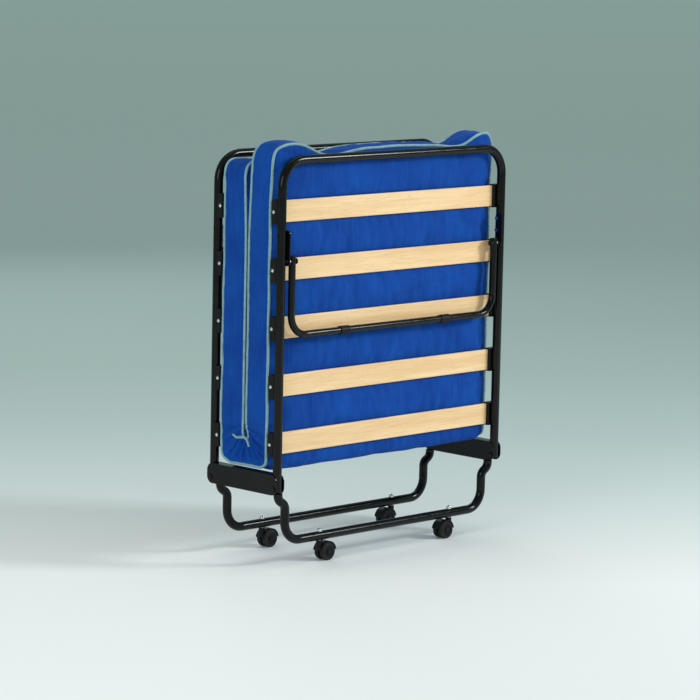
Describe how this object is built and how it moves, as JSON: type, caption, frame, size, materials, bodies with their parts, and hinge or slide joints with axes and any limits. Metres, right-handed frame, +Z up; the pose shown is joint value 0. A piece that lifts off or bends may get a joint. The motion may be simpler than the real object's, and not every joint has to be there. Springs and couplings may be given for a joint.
{
  "type": "folding cot",
  "caption": "Rollaway folding bed: slatted tube halves hinged to a centre piece on casters, folding up around a doubled mattress, with swing-down end legs.",
  "frame": {"origin": "on the floor under the middle of the folded cot", "axes": "X along the slats, across the width of the bed; Y from the front half to the rear half, the folded depth; +Z up"},
  "size_m": [0.907, 0.29, 1.14],
  "materials": {
    "black_paint": "gloss",
    "slat_wood": "clear satin lacquer",
    "holder_plastic": "satin",
    "foot_plastic": "satin",
    "caster_plastic": "satin",
    "wheel_plastic": "satin",
    "bright_steel": "bright zinc",
    "plain_steel": "zinc plated",
    "mattress_ticking": "woven cotton ticking"
  },
  "bodies": {
    "centre": {"caster_nuts": "bright_steel", "caster_stems": "plain_steel", "front_centre_leg": "black_paint", "hinge_bracket_left": "black_paint", "hinge_bracket_right": "black_paint", "hinge_pins": "black_paint", "mattress_fold": "mattress_ticking", "rear_centre_leg": "black_paint"},
    "front_half": {"front_frame": "black_paint", "front_holder_rivets": "bright_steel", "front_leg_caps": "foot_plastic", "front_leg_plates": "black_paint", "front_leg_studs": "plain_steel", "front_plate_rivets": "bright_steel", "front_slat_1": "slat_wood", "front_slat_2": "slat_wood", "front_slat_3": "slat_wood", "front_slat_4": "slat_wood", "front_slat_5": "slat_wood", "front_slat_holders": "holder_plastic", "mattress_front": "mattress_ticking"},
    "rear_half": {"mattress_rear": "mattress_ticking", "rear_frame": "black_paint", "rear_holder_rivets": "bright_steel", "rear_leg_caps": "foot_plastic", "rear_leg_plates": "black_paint", "rear_leg_studs": "plain_steel", "rear_plate_rivets": "bright_steel", "rear_slat_1": "slat_wood", "rear_slat_2": "slat_wood", "rear_slat_3": "slat_wood", "rear_slat_4": "slat_wood", "rear_slat_5": "slat_wood", "rear_slat_holders": "holder_plastic"},
    "front_leg": {"front_end_leg": "black_paint", "front_leg_feet": "foot_plastic", "front_leg_plugs": "foot_plastic"},
    "rear_leg": {"rear_end_leg": "black_paint", "rear_leg_feet": "foot_plastic", "rear_leg_plugs": "foot_plastic"},
    "caster_1_swivel": {"caster_1_axle": "black_paint", "caster_1_housing": "caster_plastic"},
    "caster_1_roll": {"caster_1_wheels": "wheel_plastic"},
    "caster_2_swivel": {"caster_2_axle": "black_paint", "caster_2_housing": "caster_plastic"},
    "caster_2_roll": {"caster_2_wheels": "wheel_plastic"},
    "caster_3_swivel": {"caster_3_axle": "black_paint", "caster_3_housing": "caster_plastic"},
    "caster_3_roll": {"caster_3_wheels": "wheel_plastic"},
    "caster_4_swivel": {"caster_4_axle": "black_paint", "caster_4_housing": "caster_plastic"},
    "caster_4_roll": {"caster_4_wheels": "wheel_plastic"}
  },
  "joints": [
    {"name": "front_fold", "type": "hinge", "parent": "centre", "child": "front_half", "pos_m": [0, -0.125, 0.222], "axis": [1, 0, 0], "range_deg": [0, 90]},
    {"name": "rear_fold", "type": "hinge", "parent": "centre", "child": "rear_half", "pos_m": [0, 0.125, 0.222], "axis": [-1, 0, 0], "range_deg": [0, 90]},
    {"name": "front_leg_swing", "type": "hinge", "parent": "front_half", "child": "front_leg", "pos_m": [0, -0.133, 0.841], "axis": [-1, 0, 0], "range_deg": [0, 90]},
    {"name": "rear_leg_swing", "type": "hinge", "parent": "rear_half", "child": "rear_leg", "pos_m": [0, 0.133, 0.841], "axis": [1, 0, 0], "range_deg": [0, 90]},
    {"name": "caster_1_turn", "type": "hinge", "parent": "centre", "child": "caster_1_swivel", "pos_m": [-0.26, -0.115, 0.0475], "axis": [0, 0, 1], "continuous": true},
    {"name": "caster_1_wheel", "type": "hinge", "parent": "caster_1_swivel", "child": "caster_1_roll", "pos_m": [-0.238, -0.115, 0.025], "axis": [0, 1, 0], "continuous": true},
    {"name": "caster_2_turn", "type": "hinge", "parent": "centre", "child": "caster_2_swivel", "pos_m": [0.26, -0.115, 0.0475], "axis": [0, 0, 1], "continuous": true},
    {"name": "caster_2_wheel", "type": "hinge", "parent": "caster_2_swivel", "child": "caster_2_roll", "pos_m": [0.238, -0.115, 0.025], "axis": [0, 1, 0], "continuous": true},
    {"name": "caster_3_turn", "type": "hinge", "parent": "centre", "child": "caster_3_swivel", "pos_m": [-0.26, 0.115, 0.0475], "axis": [0, 0, 1], "continuous": true},
    {"name": "caster_3_wheel", "type": "hinge", "parent": "caster_3_swivel", "child": "caster_3_roll", "pos_m": [-0.238, 0.115, 0.025], "axis": [0, 1, 0], "continuous": true},
    {"name": "caster_4_turn", "type": "hinge", "parent": "centre", "child": "caster_4_swivel", "pos_m": [0.26, 0.115, 0.0475], "axis": [0, 0, 1], "continuous": true},
    {"name": "caster_4_wheel", "type": "hinge", "parent": "caster_4_swivel", "child": "caster_4_roll", "pos_m": [0.238, 0.115, 0.025], "axis": [0, 1, 0], "continuous": true}
  ]
}
